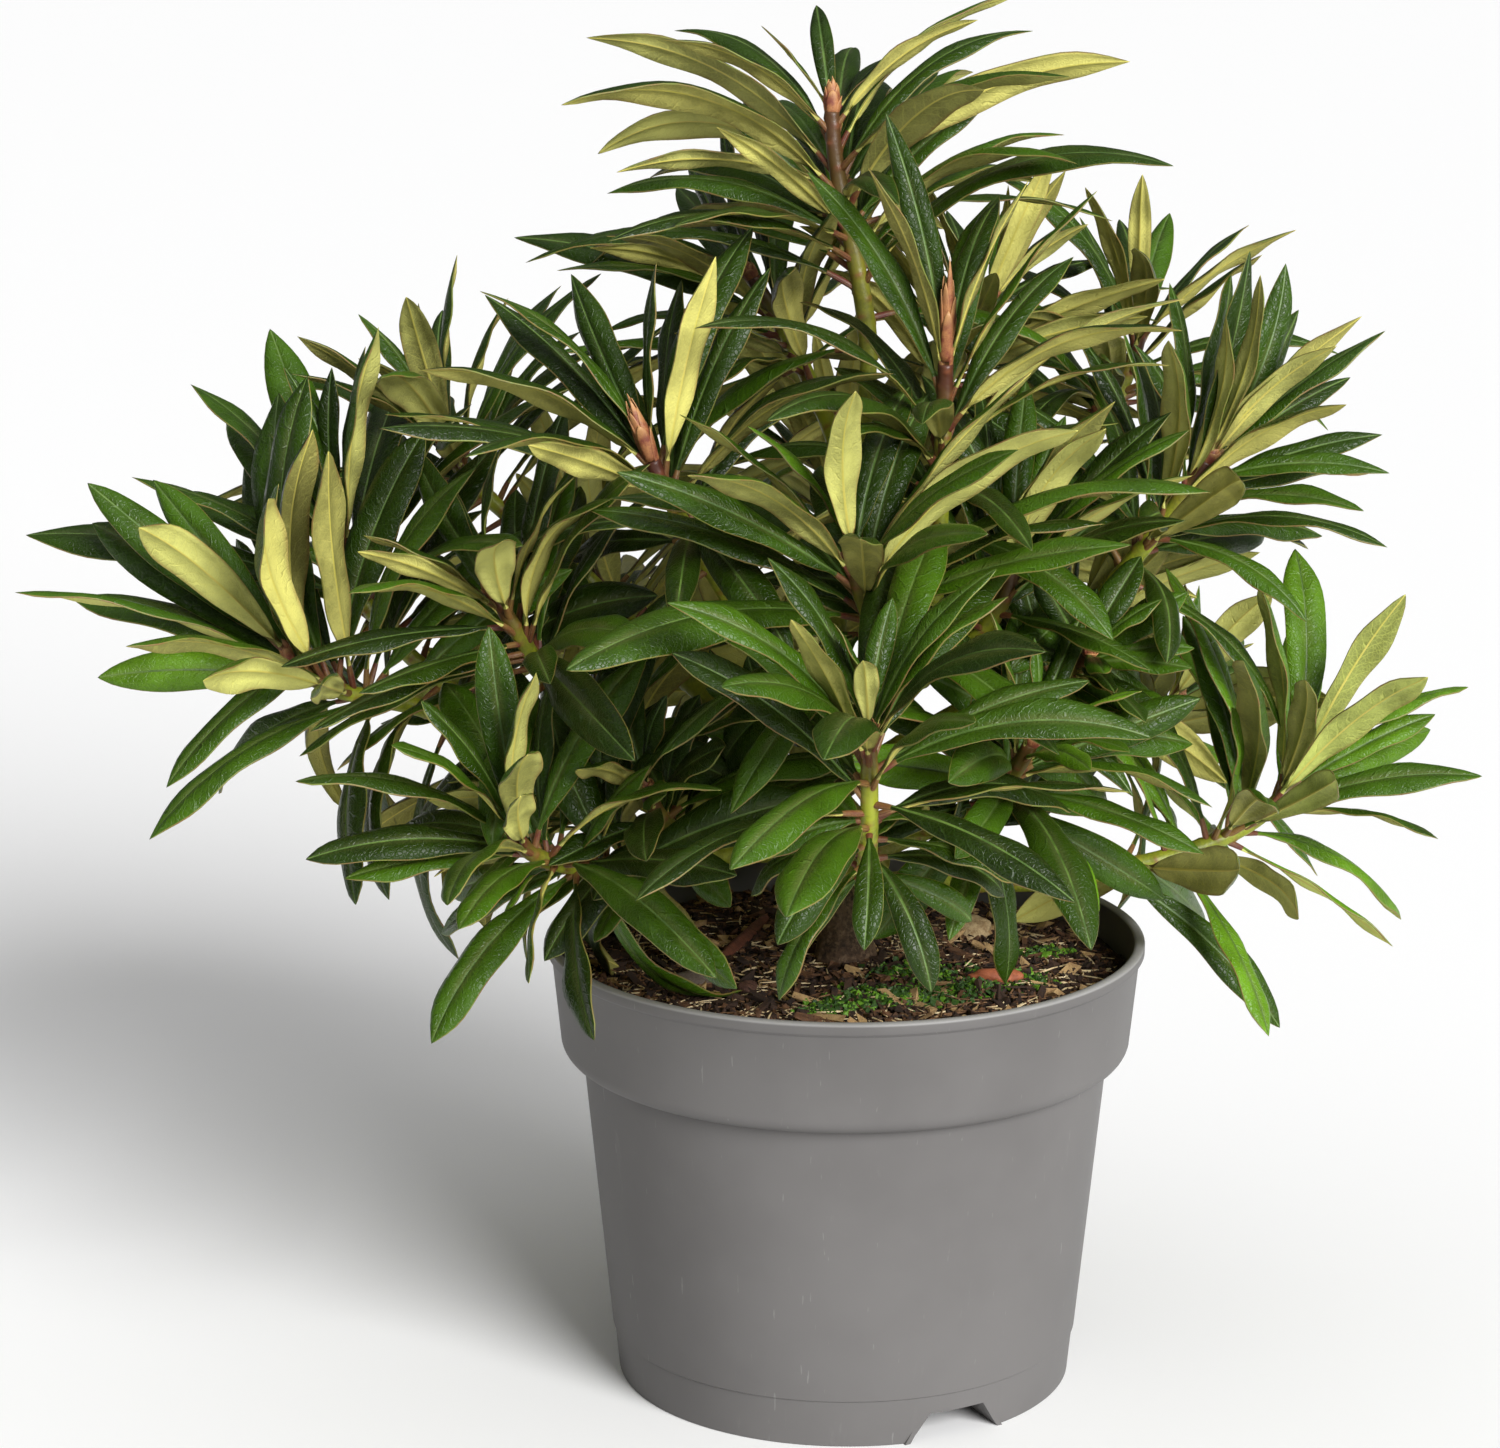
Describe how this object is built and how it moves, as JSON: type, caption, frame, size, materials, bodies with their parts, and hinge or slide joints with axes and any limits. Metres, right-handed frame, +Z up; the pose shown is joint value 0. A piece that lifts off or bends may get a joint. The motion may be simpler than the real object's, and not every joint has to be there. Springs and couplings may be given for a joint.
{
  "type": "potted rhododendron",
  "caption": "Narrow-leaved evergreen shrub in a round grey nursery pot, with a short trunk, rising boughs and whorls of long leaves.",
  "frame": {"origin": "on the floor, under the middle of the plant's box; the pot stands off the origin because the crown is wider on its left", "axes": "+Z up, -Y towards the side the plant is seen from, +X to the right"},
  "size_m": [0.5506, 0.4662, 0.529],
  "materials": {
    "pot": "satin moulded plastic",
    "soil": "loose peat and bark chips",
    "bark": "rough bark",
    "foliage": "glossy above, dull yellow-green below"
  },
  "bodies": {
    "root": {"bough_back": "bark", "bough_back_left": "bark", "bough_back_low": "bark", "bough_back_right": "bark", "bough_front_high": "bark", "bough_front_left": "bark", "bough_front_low": "bark", "bough_front_right": "bark", "bough_leader": "bark", "bough_left": "bark", "bough_left_low": "bark", "bough_right_high": "bark", "bough_right_low": "bark", "leaves_back_left_high": "foliage", "leaves_back_left_low": "foliage", "leaves_back_left_middle": "foliage", "leaves_back_low": "foliage", "leaves_back_middle": "foliage", "leaves_back_right_high": "foliage", "leaves_back_right_low": "foliage", "leaves_back_right_middle": "foliage", "leaves_back_right_top": "foliage", "leaves_back_top": "foliage", "leaves_far_left": "foliage", "leaves_front_left_high": "foliage", "leaves_front_low": "foliage", "leaves_front_middle": "foliage", "leaves_front_right_high": "foliage", "leaves_front_right_low": "foliage", "leaves_front_right_middle": "foliage", "leaves_left_front_low": "foliage", "leaves_left_high": "foliage", "leaves_left_low": "foliage", "leaves_left_middle": "foliage", "leaves_middle": "foliage", "leaves_middle_left": "foliage", "leaves_middle_right": "foliage", "leaves_right_high": "foliage", "leaves_right_low": "foliage", "leaves_right_middle": "foliage", "leaves_top": "foliage", "pot": "pot", "root_ball": "soil", "trunk": "bark"}
  },
  "joints": []
}
